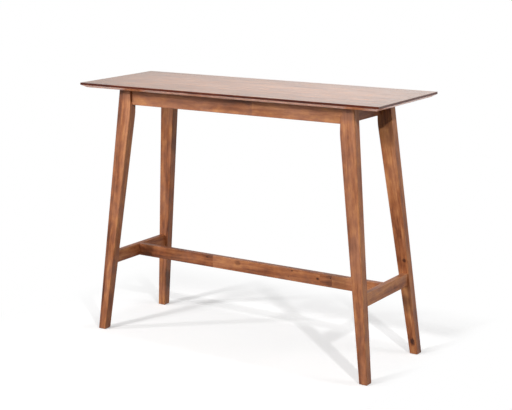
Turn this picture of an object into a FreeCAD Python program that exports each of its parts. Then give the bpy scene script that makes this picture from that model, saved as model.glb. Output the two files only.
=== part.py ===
import FreeCAD, Part
import math
import os

from FreeCAD import Vector

# A tall narrow bar table in stained wood: a thin top with an undercut edge, an apron frame,
# four legs that splay two ways with a knee below the aprons, and an H of three stretchers.
# X runs along the table, Y from front to back and Z up. The origin is on the floor, in the middle.

# Whole table
table_length = 1400.0
table_depth = 472.0
table_height = 1060.0

# Table top: a board with an upright edge above and an undercut bevel below
top_thickness = 20.0
top_edge_height = 8.5
top_bevel_inset = 20.0
top_arris_radius = 0.8
top_corner_radius = 2.0

# Legs: boards with an outline in the front view, leaning towards the middle of the table.
# The insets run from the table's ends and sides to the legs' outer faces.
foot_inset_x = 43.0
foot_inset_y = 9.5
shoulder_inset_x = 146.0
shoulder_inset_y = 78.6
foot_width = 34.6
knee_width = 66.7
knee_drop = 34.0
knee_radius = 250.0
leg_thickness = 37.0
leg_arris_radius = 3.0

# Aprons: the end ones stand back from the legs' upright inner edges
apron_height = 69.0
apron_thickness = 16.0
apron_recess = 7.0
end_apron_setback = 2.0
apron_arris_radius = 1.5

# Stretchers, with stub tenons on their ends
stretcher_height = 51.0
stretcher_thickness = 25.0
stretcher_bottom = 288.0
stretcher_outward_offset = 2.7
stretcher_arris_radius = 2.0
tenon_thickness = 11.0
tenon_height = 34.0
leg_tenon_length = 22.0
middle_tenon_length = 14.0
glue_gap = 0.1

# Corner blocks: how far they reach along the aprons, from the inner corner of the frame
block_height = 56.0
block_near_reach = 28.0
block_far_reach = 68.0
block_blunt_end = 8.0
bolt_flat_depth = 4.0

# Hanger bolts with washers and nuts
bolt_diameter = 8.0
bolt_hole_clearance = 0.3
bolt_grip_in_leg = 32.0
bolt_edge_distance = 14.0
bolt_end_beyond_nut = 5.0
bolt_end_bevel = 1.0
washer_diameter = 16.0
washer_thickness = 1.6
nut_across_flats = 13.0
nut_height = 6.5
nut_sides = 6

# Wood screws, each with a head, a shank and a pointed end
screw_hole_clearance = 0.1
block_screw_diameter = 4.5
block_screw_head_diameter = 8.6
block_screw_head_height = 2.8
block_screw_land = 10.0
block_screw_grip = 13.0
block_screw_reach = 56.0
block_screw_edge_distance = 12.0
head_pocket_clearance = 0.4
bracket_screw_diameter = 4.0
bracket_screw_head_diameter = 8.0
bracket_screw_head_height = 2.4
bracket_screw_grip = 12.0
glide_screw_diameter = 3.0
glide_screw_head_diameter = 6.4
glide_screw_head_height = 1.0
glide_screw_grip = 16.0

# Steel angles that hold the top down
bracket_reach = 24.0
bracket_width = 20.0
bracket_sheet = 2.0
bracket_bend_radius = 1.5
bracket_hole_offset = 14.0
bracket_slot_travel = 4.0
bracket_end_distance = 232.5
brace_bracket_end_distance = 78.5

# Brace across the middle of the frame, on dowels
brace_height = 50.0
brace_thickness = 18.0
dowel_diameter = 8.0
dowel_in_apron = 11.0
dowel_in_brace = 19.0
dowel_spacing = 24.0
dowel_chamfer = 1.0
dowel_end_gap = 0.5

# Foot glides
glide_diameter = 24.0
glide_thickness = 3.0
glide_rim_radius = 1.2

# Shares of a size
pointed_end_share = 1.5
upright_share = 0.5

# One overrun serves every cut
overrun = 10.0

# Heights and slopes worked out from the sizes above
foot_z = glide_thickness
underside_z = table_height - top_thickness
apron_bottom_z = underside_z - apron_height
knee_z = apron_bottom_z - knee_drop
block_bottom_z = underside_z - block_height
stretcher_middle_z = stretcher_bottom + stretcher_height / 2
foot_outer_x = table_length / 2 - foot_inset_x
foot_outer_y = table_depth / 2 - foot_inset_y
splay_slope = (shoulder_inset_x - foot_inset_x) / (underside_z - foot_z)
lean_slope = (shoulder_inset_y - foot_inset_y) / (underside_z - foot_z)
lean_angle = math.atan(lean_slope)
leg_level_depth = leg_thickness / math.cos(lean_angle)

UP = Vector(0, 0, 1)
ALONG = Vector(1, 0, 0)
ACROSS = Vector(0, 1, 0)
DIAGONAL = Vector(1, 1, 0).normalize()
OUTWARD_FROM_BOARD = Vector(0, math.cos(lean_angle), math.sin(lean_angle))


def leg_outer_x(z):
    return foot_outer_x - splay_slope * (z - foot_z)


def leg_outer_y(z):
    return foot_outer_y - lean_slope * (z - foot_z)


def leg_inner_y(z):
    return leg_outer_y(z) - leg_level_depth


# Upright planes of the frame, for the quarter where X and Y are positive
leg_inner_x = leg_outer_x(knee_z) - knee_width
foot_inner_x = foot_outer_x - foot_width
front_apron_outer_y = leg_outer_y(underside_z) - apron_recess
front_apron_inner_y = front_apron_outer_y - apron_thickness
end_apron_inner_x = leg_inner_x + end_apron_setback
bracket_place_x = end_apron_inner_x - bracket_end_distance
brace_bracket_place_y = front_apron_inner_y - brace_bracket_end_distance


def leg_taper_x(z):
    taper = (foot_inner_x - leg_inner_x) / (knee_z - foot_z)
    return leg_inner_x + taper * (knee_z - z)


leg_middle_x = (leg_outer_x(stretcher_middle_z) + leg_taper_x(stretcher_middle_z)) / 2
stretcher_centre_x = leg_middle_x + stretcher_outward_offset


def prism(points, direction):
    """Closed outline through the points, pushed along the direction."""
    return Part.Face(Part.makePolygon(points + points[:1])).extrude(direction)


def box(x_range, y_range, z_range):
    size = [high - low for low, high in (x_range, y_range, z_range)]
    return Part.makeBox(*size, Vector(x_range[0], y_range[0], z_range[0]))


def centred(size, middle=0):
    return (middle - size / 2, middle + size / 2)


def rod(diameter, length, start, direction):
    return Part.makeCylinder(diameter / 2, length, start, direction)


def edges_along(shape, direction, share):
    """Edges that run mostly along the direction."""
    chosen = []
    for edge in shape.Edges:
        middle = (edge.FirstParameter + edge.LastParameter) / 2
        if abs(edge.tangentAt(middle).normalize().dot(direction)) > share:
            chosen.append(edge)
    return chosen


def edge_at(shape, point):
    """The edge whose middle is nearest to the point."""
    return min(shape.Edges, key=lambda edge: edge.CenterOfMass.distanceToPoint(point))


def eased(shape, radius, direction):
    """Rounds every edge that runs along the direction."""
    return shape.makeFillet(radius, edges_along(shape, direction, upright_share))


def eased_below(shape, direction):
    """Rounds the lower edges of an apron or brace that run along the direction."""
    level = shape.BoundBox.ZMin + apron_arris_radius
    lower = [edge for edge in edges_along(shape, direction, upright_share)
             if edge.CenterOfMass.z < level]
    return shape.makeFillet(apron_arris_radius, lower)


def mirrored(shape, side_x, side_y):
    """The same shape in another quarter of the table."""
    result = shape.copy()
    if side_x < 0:
        result = result.mirror(Vector(), ALONG)
    if side_y < 0:
        result = result.mirror(Vector(), ACROSS)
    return result


def quarters():
    for side_y, depth_name in ((-1, "front"), (1, "back")):
        for side_x, length_name in ((-1, "left"), (1, "right")):
            yield side_x, side_y, depth_name + "_" + length_name


def in_all_quarters(shapes):
    return [mirrored(shape, sx, sy) for sx, sy, name in quarters() for shape in shapes]


# Fasteners, each drawn from its seat: the shank runs along the direction, the head lies behind
def turned(points, start, direction):
    """A solid turned about the direction, from an outline of (radius, distance) points."""
    outline = [Vector(radius, 0, distance) for radius, distance in points]
    solid = Part.Face(Part.makePolygon(outline + outline[:1])).revolve(Vector(), UP)
    solid.Placement = FreeCAD.Placement(start, FreeCAD.Rotation(UP, direction))
    return solid


def pan_head_screw(diameter, head_diameter, head_height, length, seat, direction):
    shank = diameter / 2
    head = head_diameter / 2
    crown = head - head_height / 2
    point = shank * pointed_end_share
    outline = [(0, -head_height), (crown, -head_height), (head, -head_height / 2), (head, 0),
               (shank, 0), (shank, length - point), (0, length)]
    return turned(outline, seat, direction)


def flat_head_screw(diameter, head_diameter, head_height, length, seat, direction):
    """The flat of the head lies in the seat's plane, and its cone reaches into the piece."""
    shank = diameter / 2
    head = head_diameter / 2
    cone = head_height + head - shank
    point = shank * pointed_end_share
    outline = [(0, 0), (head, 0), (head, head_height), (shank, cone),
               (shank, length - point), (0, length)]
    return turned(outline, seat, direction)


def stud(diameter, length, start, direction):
    """A bolt without a head: a bevelled end at its start and a pointed one in the wood."""
    radius = diameter / 2
    point = radius * pointed_end_share
    outline = [(0, 0), (radius - bolt_end_bevel, 0), (radius, bolt_end_bevel),
               (radius, length - point), (0, length)]
    return turned(outline, start, direction)


def nut(seat, direction):
    radius = nut_across_flats / 2 / math.cos(math.pi / nut_sides)
    corners = []
    for step in range(nut_sides):
        angle = 2 * math.pi * step / nut_sides
        corners.append(Vector(radius * math.cos(angle), radius * math.sin(angle), 0))
    solid = prism(corners, UP * nut_height)
    solid.Placement = FreeCAD.Placement(seat, FreeCAD.Rotation(UP, direction))
    return solid.cut(rod(bolt_diameter, nut_height, seat, direction))


# Places of the hanger bolts: level, at 45 degrees, midway between the ends of the two aprons
bolt_heights = (block_bottom_z + bolt_edge_distance, underside_z - bolt_edge_distance)
front_apron_line = front_apron_inner_y - leg_inner_x
end_apron_line = leg_inner_y(sum(bolt_heights) / 2) - end_apron_inner_x
bolt_line = (front_apron_line + end_apron_line) / 2
block_face_sum = end_apron_inner_x + front_apron_inner_y - block_far_reach - block_blunt_end
leg_flat_sum = leg_inner_x + leg_inner_y(underside_z) + bolt_flat_depth * math.sqrt(2)


def bolt_point(level, plane_sum):
    """Where a bolt crosses the upright diagonal plane on which X plus Y is plane_sum."""
    return Vector((plane_sum - bolt_line) / 2, (plane_sum + bolt_line) / 2, level)


def bolt_start(level):
    return bolt_point(level, leg_flat_sum)


def bolt_seat(level):
    return bolt_point(level, block_face_sum)


def leg_bolts():
    tail = washer_thickness + nut_height + bolt_end_beyond_nut
    bolts = []
    for z in bolt_heights:
        length = tail + (bolt_start(z) - bolt_seat(z)).Length + bolt_grip_in_leg
        bolts.append(stud(bolt_diameter, length, bolt_seat(z) - DIAGONAL * tail, DIAGONAL))
    return in_all_quarters(bolts)


def leg_washers():
    washers = []
    for z in bolt_heights:
        back = bolt_seat(z) - DIAGONAL * washer_thickness
        hole = bolt_diameter + 2 * bolt_hole_clearance
        ring = rod(washer_diameter, washer_thickness, back, DIAGONAL)
        washers.append(ring.cut(rod(hole, washer_thickness, back, DIAGONAL)))
    return in_all_quarters(washers)


def leg_nuts():
    nuts = [nut(bolt_seat(z) - DIAGONAL * (washer_thickness + nut_height), DIAGONAL)
            for z in bolt_heights]
    return in_all_quarters(nuts)


# Places of the block screws: (seat, direction) pairs, one pair of heights on each apron
def block_screw_places():
    levels = (block_bottom_z + block_screw_edge_distance, underside_z - block_screw_edge_distance)
    places = []
    for z in levels:
        along_front = Vector(end_apron_inner_x - block_screw_reach,
                             front_apron_inner_y - block_screw_land, z)
        along_end = Vector(end_apron_inner_x - block_screw_land,
                           front_apron_inner_y - block_screw_reach, z)
        places.append((along_front, ACROSS))
        places.append((along_end, ALONG))
    return places


def block_screws():
    length = block_screw_land + block_screw_grip
    screws = [pan_head_screw(block_screw_diameter, block_screw_head_diameter,
                             block_screw_head_height, length, seat, direction)
              for seat, direction in block_screw_places()]
    return in_all_quarters(screws)


def block_screw_holes():
    """Pilot holes through block and apron, in all four quarters."""
    length = block_screw_land + block_screw_grip
    hole = block_screw_diameter + 2 * screw_hole_clearance
    holes = [rod(hole, length, seat, direction) for seat, direction in block_screw_places()]
    return in_all_quarters(holes)


# Places of the top brackets: the corner under the top, and the way the level leaf points
def bracket_places():
    places = []
    for side_x in (-1, 1):
        for side_y in (-1, 1):
            corner = Vector(side_x * bracket_place_x, side_y * front_apron_inner_y, underside_z)
            places.append((corner, ACROSS * -side_y))
        places.append((Vector(side_x * end_apron_inner_x, 0, underside_z), ALONG * -side_x))
        on_brace = Vector(side_x * brace_thickness / 2, side_x * brace_bracket_place_y, underside_z)
        places.append((on_brace, ALONG * side_x))
    return places


def bracket_placement(corner, level_way):
    """Turns local X to the level leaf's way and keeps Z up."""
    angle = math.degrees(math.atan2(level_way.y, level_way.x))
    return FreeCAD.Placement(corner, FreeCAD.Rotation(UP, angle))


def bracket():
    """A bent angle with its outer corner at the origin, one leaf level and one hanging down."""
    half = bracket_width / 2
    inner = bracket_sheet
    outline = [Vector(0, -half, 0), Vector(bracket_reach, -half, 0),
               Vector(bracket_reach, -half, -inner), Vector(inner, -half, -inner),
               Vector(inner, -half, -bracket_reach), Vector(0, -half, -bracket_reach)]
    solid = prism(outline, ACROSS * bracket_width)
    inner_bend = Vector(inner, 0, -inner)
    solid = solid.makeFillet(bracket_bend_radius, [edge_at(solid, inner_bend)])
    solid = solid.makeFillet(bracket_bend_radius + bracket_sheet, [edge_at(solid, Vector())])
    hole = bracket_screw_diameter + 2 * screw_hole_clearance
    through = 2 * bracket_sheet
    solid = solid.cut(rod(hole, through, Vector(-bracket_sheet, 0, -bracket_hole_offset), ALONG))
    slot = [rod(hole, through, Vector(bracket_hole_offset + way * bracket_slot_travel / 2, 0,
                                      -through), UP) for way in (-1, 1)]
    slot.append(box(centred(bracket_slot_travel, bracket_hole_offset), centred(hole), (-through, 0)))
    return solid.cut(slot)


def top_brackets():
    solids = []
    for corner, level_way in bracket_places():
        solid = bracket()
        solid.Placement = bracket_placement(corner, level_way)
        solids.append(solid)
    return solids


def bracket_screw_places():
    """The seats on the inner faces of the two leaves, with the way into the wood."""
    places = []
    for corner, level_way in bracket_places():
        placement = bracket_placement(corner, level_way)
        into_top = Vector(bracket_hole_offset, 0, -bracket_sheet)
        into_side = Vector(bracket_sheet, 0, -bracket_hole_offset)
        places.append((placement.multVec(into_top), UP))
        places.append((placement.multVec(into_side), level_way * -1))
    return places


def bracket_screws():
    length = bracket_sheet + bracket_screw_grip
    return [pan_head_screw(bracket_screw_diameter, bracket_screw_head_diameter,
                           bracket_screw_head_height, length, seat, direction)
            for seat, direction in bracket_screw_places()]


def bracket_screw_holes():
    hole = bracket_screw_diameter + 2 * screw_hole_clearance
    length = bracket_sheet + bracket_screw_grip
    return [rod(hole, length, seat, direction) for seat, direction in bracket_screw_places()]


# Dowels in the ends of the brace, two above each other at each end
def dowel_places():
    middle = underside_z - brace_height / 2
    return [middle - dowel_spacing / 2, middle + dowel_spacing / 2]


def brace_dowels():
    length = dowel_in_apron + dowel_in_brace
    dowels = []
    for z in dowel_places():
        start = Vector(0, front_apron_inner_y - dowel_in_brace, z)
        dowel = rod(dowel_diameter, length, start, ACROSS)
        rims = [e for e in dowel.Edges if e.Curve.TypeId == "Part::GeomCircle"]
        dowels.append(dowel.makeChamfer(dowel_chamfer, rims))
    return dowels + [mirrored(dowel, 1, -1) for dowel in dowels]


def dowel_holes():
    length = dowel_in_apron + dowel_in_brace + 2 * dowel_end_gap
    holes = []
    for z in dowel_places():
        start = Vector(0, front_apron_inner_y - dowel_in_brace - dowel_end_gap, z)
        holes.append(rod(dowel_diameter, length, start, ACROSS))
    return holes + [mirrored(hole, 1, -1) for hole in holes]


# Foot glides, one screw in each
def glide_centre(z):
    return Vector(foot_outer_x - foot_width / 2, foot_outer_y - leg_level_depth / 2, z)


def glide():
    disc = rod(glide_diameter, glide_thickness, glide_centre(0), UP)
    rim = [e for e in disc.Edges if e.Curve.TypeId == "Part::GeomCircle" and e.CenterOfMass.z < foot_z / 2]
    disc = disc.makeFillet(glide_rim_radius, rim)
    shank = glide_screw_diameter / 2 + screw_hole_clearance
    head = glide_screw_head_diameter / 2 + screw_hole_clearance
    cone = glide_screw_head_height + head - shank
    sink = glide_screw_sink()
    outline = [(0, -sink), (head, -sink), (head, glide_screw_head_height), (shank, cone),
               (shank, glide_thickness), (0, glide_thickness)]
    return disc.cut(turned(outline, glide_centre(sink), UP))


def glide_screw_sink():
    """The head lies deep enough in the glide to stay off the floor."""
    cone = glide_screw_head_height + (glide_screw_head_diameter - glide_screw_diameter) / 2
    return max((glide_thickness - cone) / 2, 0)


def glide_screw():
    length = glide_thickness - glide_screw_sink() + glide_screw_grip
    return flat_head_screw(glide_screw_diameter, glide_screw_head_diameter,
                           glide_screw_head_height, length, glide_centre(glide_screw_sink()), UP)


def glide_screw_hole():
    hole = glide_screw_diameter + 2 * screw_hole_clearance
    return rod(hole, glide_screw_grip + foot_z, glide_centre(0), UP)


# The wooden pieces
def top_outline(inset, z):
    """The outline of the top with its rounded corners, drawn in by the inset."""
    length, depth = table_length - 2 * inset, table_depth - 2 * inset
    block = box(centred(length), centred(depth), (z, z + top_thickness))
    block = block.makeFillet(top_corner_radius, edges_along(block, UP, upright_share))
    return min(block.Faces, key=lambda face: face.CenterOfMass.z).OuterWire


def table_top():
    band_bottom = table_height - top_edge_height
    rim = top_outline(0, band_bottom)
    band = Part.Face(rim).extrude(UP * top_edge_height)
    upper = [e for e in band.Edges if e.CenterOfMass.z > table_height - top_arris_radius]
    band = band.makeFillet(top_arris_radius, upper)
    undercut = Part.makeLoft([rim, top_outline(top_bevel_inset, underside_z)], True, True)
    return band.fuse(undercut).removeSplitter().cut(bracket_screw_holes())


def leg():
    """The leg of the quarter where X and Y are positive."""
    low = foot_z - overrun
    high = underside_z + overrun
    places = [(leg_taper_x(low), low), (leg_outer_x(low), low), (leg_outer_x(high), high),
              (leg_inner_x, high), (leg_inner_x, knee_z)]
    board = prism([Vector(x, leg_outer_y(z), z) for x, z in places],
                  OUTWARD_FROM_BOARD * -leg_thickness)
    knee = Vector(leg_inner_x, leg_outer_y(knee_z), knee_z) - OUTWARD_FROM_BOARD * leg_thickness / 2
    board = board.makeFillet(knee_radius, [edge_at(board, knee)])
    board = eased(board, leg_arris_radius, UP)
    board = board.common(box((0, table_length), (0, table_depth), (foot_z, underside_z)))
    return board.cut([leg_mortise(), bolt_flat(), glide_screw_hole()] + bolt_holes())


def leg_mortise():
    tip = leg_inner_y(stretcher_middle_z) + leg_tenon_length + glue_gap
    return box(centred(tenon_thickness + 2 * glue_gap, stretcher_centre_x), (0, tip),
               centred(tenon_height + 2 * glue_gap, stretcher_middle_z))


def bolt_flat():
    """Cuts the leg's inner corner beside the block, square to the bolts."""
    corner = leg_flat_sum / 2
    reach = block_far_reach
    start = Vector(corner - reach, corner + reach, block_bottom_z)
    end = Vector(corner + reach, corner - reach, block_bottom_z)
    back = DIAGONAL * -reach
    return prism([start, end, end + back, start + back], UP * (block_height + overrun))


def bolt_holes():
    hole = bolt_diameter
    return [rod(hole, bolt_grip_in_leg + overrun, bolt_start(z) - DIAGONAL * overrun, DIAGONAL)
            for z in bolt_heights]


def long_apron():
    """The apron on the side where Y is positive; its twin is its mirror image."""
    apron = box(centred(2 * leg_inner_x), (front_apron_inner_y, front_apron_outer_y),
                (apron_bottom_z, underside_z))
    apron = eased_below(apron, ALONG)
    return apron.cut(block_screw_holes() + bracket_screw_holes() + dowel_holes())


def end_apron():
    """The apron at the right end: its ends are cut to the lean of the legs."""
    low, high = apron_bottom_z, underside_z
    outline = [Vector(end_apron_inner_x, -leg_inner_y(low), low),
               Vector(end_apron_inner_x, leg_inner_y(low), low),
               Vector(end_apron_inner_x, leg_inner_y(high), high),
               Vector(end_apron_inner_x, -leg_inner_y(high), high)]
    apron = eased_below(prism(outline, ALONG * apron_thickness), ACROSS)
    return apron.cut(block_screw_holes() + bracket_screw_holes())


def corner_block():
    x, y = end_apron_inner_x, front_apron_inner_y
    near, far, blunt = block_near_reach, block_far_reach, block_blunt_end
    plan = [(x - near, y), (x - far, y), (x - far, y - blunt),
            (x - blunt, y - far), (x, y - far), (x, y - near)]
    block = prism([Vector(px, py, block_bottom_z) for px, py in plan], UP * block_height)
    cuts = list(block_screw_holes())
    for z in bolt_heights:
        hole = bolt_diameter + 2 * bolt_hole_clearance
        cuts.append(rod(hole, 2 * block_far_reach, bolt_seat(z) - DIAGONAL * overrun, DIAGONAL))
    pocket = block_screw_head_diameter + 2 * head_pocket_clearance
    for seat, direction in block_screw_places():
        cuts.append(rod(pocket, block_far_reach, seat - direction * block_far_reach, direction))
    return block.cut(cuts)


def centre_brace():
    brace = box(centred(brace_thickness), centred(2 * front_apron_inner_y),
                (underside_z - brace_height, underside_z))
    return eased_below(brace, ACROSS).cut(bracket_screw_holes() + dowel_holes())


def side_stretcher():
    """The stretcher at the right end, with shoulders cut to the lean of the legs."""
    low, high = stretcher_bottom, stretcher_bottom + stretcher_height
    inner_x = stretcher_centre_x - stretcher_thickness / 2
    outline = [Vector(inner_x, -leg_inner_y(low), low), Vector(inner_x, leg_inner_y(low), low),
               Vector(inner_x, leg_inner_y(high), high), Vector(inner_x, -leg_inner_y(high), high)]
    rail = eased(prism(outline, ALONG * stretcher_thickness), stretcher_arris_radius, ACROSS)
    tip = leg_inner_y(stretcher_middle_z) + leg_tenon_length
    tenons = box(centred(tenon_thickness, stretcher_centre_x), centred(2 * tip),
                 centred(tenon_height, stretcher_middle_z))
    mortise = box((0, inner_x + middle_tenon_length + glue_gap),
                  centred(tenon_thickness + 2 * glue_gap),
                  centred(tenon_height + 2 * glue_gap, stretcher_middle_z))
    return rail.fuse(tenons).cut(mortise).removeSplitter()


def long_stretcher():
    shoulder = stretcher_centre_x - stretcher_thickness / 2
    rail = box(centred(2 * shoulder), centred(stretcher_thickness),
               (stretcher_bottom, stretcher_bottom + stretcher_height))
    rail = eased(rail, stretcher_arris_radius, ALONG)
    tenons = box(centred(2 * (shoulder + middle_tenon_length)), centred(tenon_thickness),
                 centred(tenon_height, stretcher_middle_z))
    return rail.fuse(tenons).removeSplitter()


def build():
    """Every sub-part by its node's name."""
    nodes = {"table_top": table_top()}
    leg_shape, block_shape, glide_shape = leg(), corner_block(), glide()
    for side_x, side_y, quarter in quarters():
        nodes["leg_" + quarter] = mirrored(leg_shape, side_x, side_y)
        nodes["corner_block_" + quarter] = mirrored(block_shape, side_x, side_y)
        nodes["glide_" + quarter] = mirrored(glide_shape, side_x, side_y)
    side_apron, short_apron, rail = long_apron(), end_apron(), side_stretcher()
    nodes["apron_front"] = mirrored(side_apron, 1, -1)
    nodes["apron_back"] = side_apron
    for side_x, side in ((-1, "left"), (1, "right")):
        nodes["apron_" + side] = mirrored(short_apron, side_x, 1)
        nodes["stretcher_" + side] = mirrored(rail, side_x, 1)
    nodes["stretcher_long"] = long_stretcher()
    nodes["centre_brace"] = centre_brace()
    groups = {"leg_bolts": leg_bolts(), "leg_washers": leg_washers(), "leg_nuts": leg_nuts(),
              "block_screws": block_screws(), "top_brackets": top_brackets(),
              "bracket_screws": bracket_screws(), "brace_dowels": brace_dowels(),
              "glide_screws": in_all_quarters([glide_screw()])}
    for name, solids in groups.items():
        nodes[name] = Part.makeCompound(solids)
    return nodes


def main():
    os.makedirs("parts", exist_ok=True)
    for name, shape in build().items():
        shape.exportStep("parts/" + name + ".step")
        print(name, len(shape.Solids), "solids, valid:", shape.isValid())


main()
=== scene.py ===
import logging
import math
from dataclasses import dataclass, fields
from enum import Enum
from itertools import product
from typing import Iterable, Optional, Sequence, Union

import bmesh
import bpy
import numpy as np
from mathutils import Color, Matrix, Vector


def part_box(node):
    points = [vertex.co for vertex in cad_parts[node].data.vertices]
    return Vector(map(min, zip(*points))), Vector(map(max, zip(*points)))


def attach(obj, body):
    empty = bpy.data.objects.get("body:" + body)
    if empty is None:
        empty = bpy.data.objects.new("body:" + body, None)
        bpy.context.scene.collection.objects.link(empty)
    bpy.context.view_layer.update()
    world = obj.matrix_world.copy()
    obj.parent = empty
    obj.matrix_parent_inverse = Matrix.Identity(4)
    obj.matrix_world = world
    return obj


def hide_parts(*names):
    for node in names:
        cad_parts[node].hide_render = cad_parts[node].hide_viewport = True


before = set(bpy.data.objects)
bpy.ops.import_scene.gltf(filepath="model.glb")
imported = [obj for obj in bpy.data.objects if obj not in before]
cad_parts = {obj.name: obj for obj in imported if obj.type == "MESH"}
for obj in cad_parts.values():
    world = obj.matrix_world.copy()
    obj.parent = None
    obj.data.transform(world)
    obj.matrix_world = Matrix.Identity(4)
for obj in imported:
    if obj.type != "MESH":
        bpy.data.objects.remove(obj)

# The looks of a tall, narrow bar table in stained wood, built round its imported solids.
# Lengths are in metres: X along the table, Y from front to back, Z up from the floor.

log = logging.getLogger("bar_table")
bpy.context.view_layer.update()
BODY = "root"

ALONG, ACROSS, UP = Vector((1, 0, 0)), Vector((0, 1, 0)), Vector((0, 0, 1))
WHITE = (1.0, 1.0, 1.0)
WELD = 1e-6  # corner points nearer than this are one
END_SHARE = 0.04  # how much of a solid's length counts as its end
AS_WIDE, WIDER = 0.9, 1.1  # from what ratio on an end is as wide as the other, or wider

Colour = tuple[float, float, float]
Place = tuple[float, float, float]
Span = tuple[float, float]
Material = bpy.types.Material


def linear(*shares: int) -> Colour:
    """The linear colour that shaders take for a screen colour, whose shares run from 0 to 255."""
    return tuple(Color([share / 255 for share in shares]).from_srgb_to_scene_linear())


@dataclass(frozen=True)
class Layer:
    """A layer of noise: its cells to the metre each way and how it breaks up.

    It has as many cells through the grain as across it, unless they are set.
    """

    along: float
    across: float
    detail: float = 2.0
    rough: float = 0.5
    through: Optional[float] = None


@dataclass(frozen=True)
class Wire:
    """A value or shape in a node tree; sums, differences, products and quotients of it add math nodes."""

    graph: "Graph"
    socket: bpy.types.NodeSocket

    def __add__(self, other: "Value") -> "Wire":
        """This value and another."""
        return self.graph.math("ADD", self, other)

    def __sub__(self, other: "Value") -> "Wire":
        """This value less another."""
        return self.graph.math("SUBTRACT", self, other)

    def __rsub__(self, other: "Value") -> "Wire":
        """Another value less this one."""
        return self.graph.math("SUBTRACT", other, self)

    def __mul__(self, other: "Value") -> "Wire":
        """This value times another."""
        return self.graph.math("MULTIPLY", self, other)

    def __truediv__(self, other: "Value") -> "Wire":
        """This value divided by another."""
        return self.graph.math("DIVIDE", self, other)

    __radd__ = __add__
    __rmul__ = __mul__

    def parts(self) -> list["Wire"]:
        """The three parts of a vector."""
        node = self.graph.add("ShaderNodeSeparateXYZ", {0: self})
        return [Wire(self.graph, part) for part in node.outputs]

    def between(self, span: Span) -> "Wire":
        """Rises smoothly from 0 to 1 as the value goes from the span's low end to its high one."""
        return self.graph.out("ShaderNodeMapRange", {0: self, 1: span[0], 2: span[1]},
                              interpolation_type="SMOOTHSTEP")

    def noise(self, layer: Layer, shift: "Value" = 0.0) -> "Wire":
        """Noise about nought, from -0.5 to 0.5, at coordinates in metres.

        Args:
            layer: The noise's scale and make.
            shift: Fourth coordinate, which sets one board's figure apart from the next.

        Returns:
            The noise.
        """
        cells = layer.along, layer.across, layer.through or layer.across
        inputs = {"Vector": self.graph.vector("MULTIPLY", self, cells), "W": shift, "Scale": 1.0,
                  "Detail": layer.detail, "Roughness": layer.rough}
        return self.graph.out("ShaderNodeTexNoise", inputs, noise_dimensions="4D") - 0.5


Value = Union[Wire, list[Wire], float, Sequence[float], None]


class Graph:
    """Adds nodes to a shader or geometry tree and links them with short calls."""

    def __init__(self, tree: bpy.types.NodeTree) -> None:
        """Takes the tree that the calls work on."""
        self.tree = tree

    def add(self, kind: str, inputs: Optional[dict] = None, **settings: object) -> bpy.types.Node:
        """Adds one node.

        Args:
            kind: The node's type name.
            inputs: Values or wires by the input's name or number.
            settings: The node's own properties.

        Returns:
            The new node.
        """
        node = self.tree.nodes.new(kind)
        for name, value in settings.items():
            setattr(node, name, value)
        for key, value in (inputs or {}).items():
            self.feed(node.inputs[key], value)
        return node

    def out(self, kind: str, inputs: Optional[dict] = None, output: Union[int, str] = 0, **settings: object) -> Wire:
        """Adds one node as above, and gives one of its outputs."""
        return Wire(self, self.add(kind, inputs, **settings).outputs[output])

    def feed(self, socket: bpy.types.NodeSocket, value: Value) -> None:
        """Links a wire or a list of wires to an input, or sets the input's own value.

        Args:
            socket: The input.
            value: What it takes; None leaves it as it is, and a plain colour is made opaque.
        """
        if isinstance(value, (Wire, list)):
            for wire in value if isinstance(value, list) else [value]:
                self.tree.links.new(wire.socket, socket)
        elif value is not None:
            socket.default_value = (*value, 1.0) if socket.type == "RGBA" else value

    def math(self, operation: str, *values: Value, clamp: bool = False) -> Wire:
        """The result of one math node."""
        return self.out("ShaderNodeMath", dict(enumerate(values)), operation=operation, use_clamp=clamp)

    def vector(self, operation: str, *values: Value, output: str = "Vector") -> Wire:
        """The result of one vector math node."""
        return self.out("ShaderNodeVectorMath", dict(enumerate(values)), output, operation=operation)

    def joined(self, x: Value = 0.0, y: Value = 0.0, z: Value = 0.0) -> Wire:
        """A vector from its three parts."""
        return self.out("ShaderNodeCombineXYZ", {0: x, 1: y, 2: z})

    def relief(self, height: Value, strength: float, depth: float) -> Wire:
        """The normals of a fine relief."""
        return self.out("ShaderNodeBump", {"Strength": strength, "Distance": depth, "Height": height})

    def ramp(self, factor: Value, stops: Iterable[tuple[float, Colour]]) -> Wire:
        """Picks a colour from a row of stops.

        Args:
            factor: Where to pick, from 0 to 1.
            stops: Places and colours, in order.

        Returns:
            The colour.
        """
        node = self.add("ShaderNodeValToRGB", {0: factor})
        elements = node.color_ramp.elements
        stops = list(stops)
        while len(elements) < len(stops):
            elements.new(1.0)
        for element, (place, colour) in zip(elements, stops):
            element.position = place
            element.color = (*colour, 1.0)
        return Wire(self, node.outputs[0])

    def blend(self, factor: Value, first: Value, second: Value, kind: str = "MIX") -> Wire:
        """Mixes two colours.

        Args:
            factor: How much of the second is taken, from 0 to 1.
            first: The colour below.
            second: The colour on top.
            kind: How they are mixed.

        Returns:
            The mixed colour.
        """
        # Inputs 6 and 7 and output 2 are the node's colour sockets
        return self.out("ShaderNodeMix", {0: factor, 6: first, 7: second}, 2, data_type="RGBA", blend_type=kind)


def fresh_graph(holder: Union[Material, bpy.types.World]) -> Graph:
    """Clears the node tree of a material or a world."""
    holder.use_nodes = True
    holder.node_tree.nodes.clear()
    return Graph(holder.node_tree)


def put_up(name: str, data: bpy.types.ID) -> bpy.types.Object:
    """Makes an object of some data and puts it in the scene."""
    thing = bpy.data.objects.new(name, data)
    bpy.context.scene.collection.objects.link(thing)
    return thing


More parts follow.
